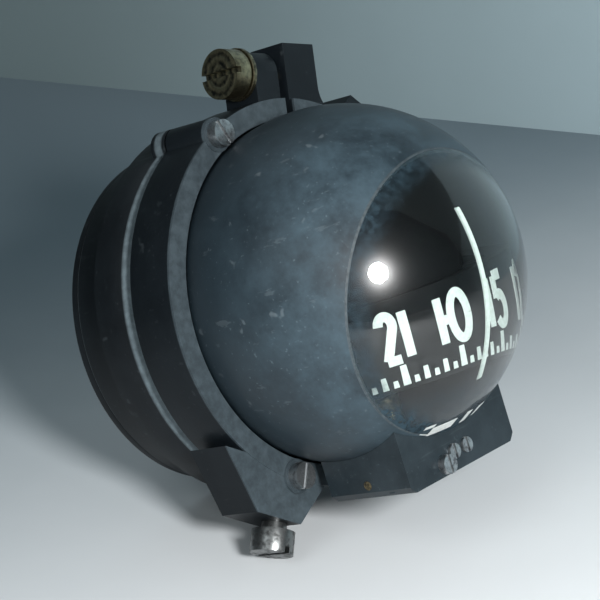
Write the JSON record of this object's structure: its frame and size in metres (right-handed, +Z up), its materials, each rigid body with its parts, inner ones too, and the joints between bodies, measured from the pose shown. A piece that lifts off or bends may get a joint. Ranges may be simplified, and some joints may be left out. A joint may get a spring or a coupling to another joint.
{
  "type": "aircraft ball compass",
  "caption": "Liquid-filled ball compass with a domed window, a floating card, a front compensator, and a split clamp ring on a stepped round rear housing.",
  "frame": {"origin": "centre of the rear cover's outer face, on the axis of the barrel and the ball", "axes": "+Z up with the card level, +Y rearwards along the barrel's axis, so that the window looks along -Y, and +X to the right seen from the front"},
  "size_m": [0.077, 0.0775, 0.0976],
  "materials": {
    "black_enamel": "glossy black enamel on a light alloy casting, dusty and scuffed",
    "satin_black": "satin black enamel on a light alloy casting, rubbed at its edges",
    "window_glass": "clear polished organic glass",
    "seal_rubber": "moulded rubber",
    "white_enamel": "white luminous paint",
    "bright_steel": "nickelled steel",
    "yellow_brass": "tarnished brass",
    "jewel_stone": "polished synthetic stone",
    "card_black": "matt black paint on thin sheet",
    "card_metal": "blackened sheet",
    "float_plastic": "matt black float",
    "magnet_steel": "dull magnet steel"
  },
  "bodies": {
    "mounting": {"clamp_ring": "satin_black", "clamp_washer": "yellow_brass", "clamp_nut": "yellow_brass", "lug_screws": "bright_steel", "foot_screw": "bright_steel", "rear_housing": "satin_black", "rear_gasket": "seal_rubber", "rear_cover": "satin_black", "rear_cover_screws": "bright_steel"},
    "ball": {"bowl": "black_enamel", "window": "window_glass", "window_seal": "seal_rubber", "lubber_line": "white_enamel", "filler_plug": "bright_steel", "plug_washer": "seal_rubber", "diaphragm": "yellow_brass", "diaphragm_ring": "yellow_brass", "pivot_column": "yellow_brass", "jewel_cup": "yellow_brass", "jewel": "jewel_stone", "compensator_body": "satin_black", "compensator_face": "satin_black", "compensator_screw": "bright_steel"},
    "point": {"pivot_point": "bright_steel"},
    "stem": {"pivot_stem": "bright_steel"},
    "card": {"card_ring": "card_black", "card_float": "float_plastic", "card_spider": "card_metal", "card_magnets": "magnet_steel"},
    "left_adjuster": {"left_shaft": "yellow_brass", "left_magnet": "magnet_steel"},
    "right_adjuster": {"right_shaft": "yellow_brass", "right_magnet": "magnet_steel"},
    "cross_adjuster": {"cross_shaft": "yellow_brass", "cross_magnets": "magnet_steel"},
    "clamp_bolt": {"clamp_screw": "yellow_brass"}
  },
  "joints": [
    {"name": "bowl_turn", "type": "hinge", "parent": "mounting", "child": "ball", "pos_m": [0, -0.04254, 0], "axis": [0, 1, 0], "continuous": true},
    {"name": "card_roll", "type": "hinge", "parent": "ball", "child": "point", "pos_m": [0, -0.04254, 0], "axis": [0, 1, 0], "range_deg": [-15, 15]},
    {"name": "card_pitch", "type": "hinge", "parent": "point", "child": "stem", "pos_m": [0, -0.04254, 0], "axis": [1, 0, 0], "range_deg": [-15, 15]},
    {"name": "card_turn", "type": "hinge", "parent": "stem", "child": "card", "pos_m": [0, -0.04254, 0], "axis": [0, 0, 1], "continuous": true},
    {"name": "left_adjuster_turn", "type": "hinge", "parent": "ball", "child": "left_adjuster", "pos_m": [-0.00195, -0.05554, -0.03548], "axis": [0, 1, 0], "continuous": true},
    {"name": "right_adjuster_turn", "type": "hinge", "parent": "ball", "child": "right_adjuster", "pos_m": [0.00195, -0.05554, -0.03548], "axis": [0, 1, 0], "continuous": true},
    {"name": "cross_adjuster_turn", "type": "hinge", "parent": "ball", "child": "cross_adjuster", "pos_m": [0, -0.04754, -0.03644], "axis": [1, 0, 0], "continuous": true},
    {"name": "clamp_screw_turn", "type": "hinge", "parent": "mounting", "child": "clamp_bolt", "pos_m": [0.01068, -0.0279, 0.04284], "axis": [0.9703, 0, -0.2419], "continuous": true}
  ],
  "couplings": [
    {"joint": "right_adjuster_turn", "follows": "left_adjuster_turn", "ratio": -1}
  ]
}
